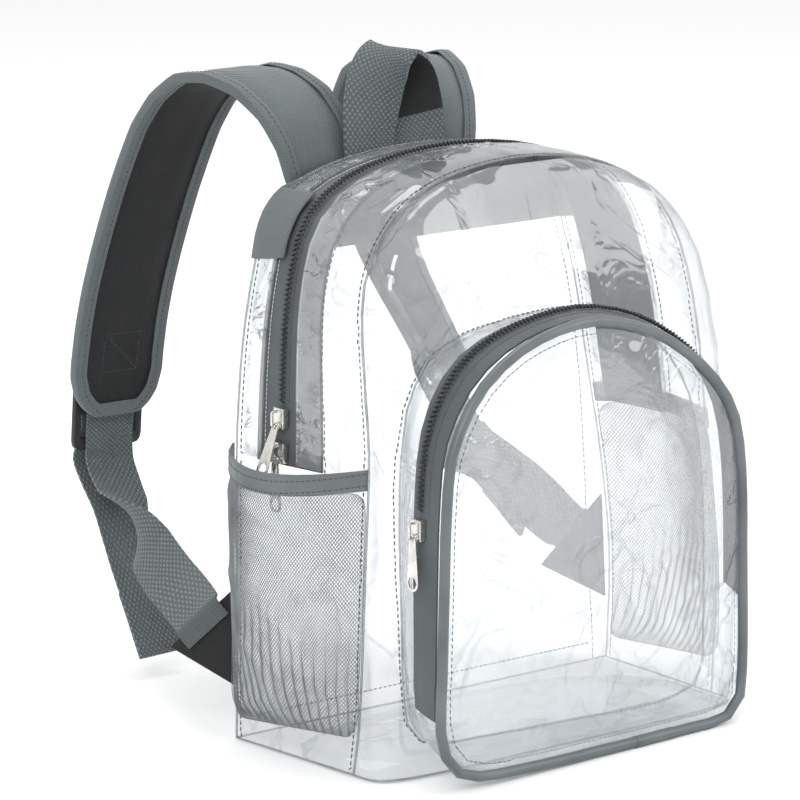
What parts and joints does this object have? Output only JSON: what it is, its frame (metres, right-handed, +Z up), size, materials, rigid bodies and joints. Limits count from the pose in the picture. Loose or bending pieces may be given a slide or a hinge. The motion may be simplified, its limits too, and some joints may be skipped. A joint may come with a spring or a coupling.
{
  "type": "clear stadium backpack",
  "caption": "Small clear vinyl backpack with an arched front pocket, a wrap-over main zip, mesh side pockets, a top handle and padded shoulder straps.",
  "frame": {"origin": "middle of the main gusset's depth on the underside of the floor panel, halfway across the bag", "axes": "+Z up, -Y out of the front pocket, +Y behind the back panel where the straps hang, +X to the right as seen from the front, which is also the wearer's right"},
  "size_m": [0.3012, 0.3366, 0.3595],
  "materials": {
    "clear_vinyl": "clear, soft, glossy sheet with fine creases",
    "grey_trim": "slate grey woven tape",
    "grey_webbing": "slate grey ribbed webbing",
    "grey_piping": "slate grey coated cord and binding",
    "grey_mesh": "open hexagonal net",
    "black_lining": "black coated cloth over foam",
    "black_plastic": "moulded black plastic",
    "nickel": "warm nickel plate"
  },
  "bodies": {
    "bag": {"floor_panel": "clear_vinyl", "back_panel": "clear_vinyl", "front_panel": "clear_vinyl", "left_side_panel": "clear_vinyl", "right_side_panel": "clear_vinyl", "rear_gusset": "clear_vinyl", "front_gusset": "clear_vinyl", "main_zip_tape": "grey_trim", "main_zip_coil": "grey_trim", "main_zip_slider_upper": "nickel", "main_zip_slider_lower": "nickel", "pocket_rear_gusset": "clear_vinyl", "pocket_zip_tape": "grey_trim", "pocket_lower_gusset": "clear_vinyl", "pocket_piping": "grey_piping", "pocket_front": "clear_vinyl", "pocket_zip_coil": "grey_trim", "pocket_zip_slider": "nickel", "yoke": "grey_trim", "handle": "grey_webbing", "left_mesh_pocket": "grey_mesh", "left_mesh_rim": "grey_piping", "left_strap_pad": "black_lining", "left_strap_binding": "grey_webbing", "left_ladder_lock": "black_plastic", "left_lock_loop": "grey_webbing", "left_webbing": "grey_webbing", "left_wing": "black_lining", "right_mesh_pocket": "grey_mesh", "right_mesh_rim": "grey_piping", "right_strap_pad": "black_lining", "right_strap_binding": "grey_webbing", "right_ladder_lock": "black_plastic", "right_lock_loop": "grey_webbing", "right_webbing": "grey_webbing", "right_wing": "black_lining"},
    "main_pull_upper": {"main_zip_pull_upper": "nickel"},
    "main_pull_lower": {"main_zip_pull_lower": "nickel"},
    "pocket_pull": {"pocket_zip_pull": "nickel"}
  },
  "joints": [
    {"name": "main_pull_upper_swing", "type": "hinge", "parent": "bag", "child": "main_pull_upper", "pos_m": [-0.12368, 0.01944, 0.17333], "axis": [0, 1, 0], "range_deg": [0, 7]},
    {"name": "main_pull_lower_swing", "type": "hinge", "parent": "bag", "child": "main_pull_lower", "pos_m": [-0.12464, 0.01873, 0.15534], "axis": [0, 1, 0], "range_deg": [0, 20]},
    {"name": "pocket_pull_swing", "type": "hinge", "parent": "bag", "child": "pocket_pull", "pos_m": [-0.11873, -0.08616, 0.13258], "axis": [0, 1, 0], "range_deg": [0, 30]}
  ]
}
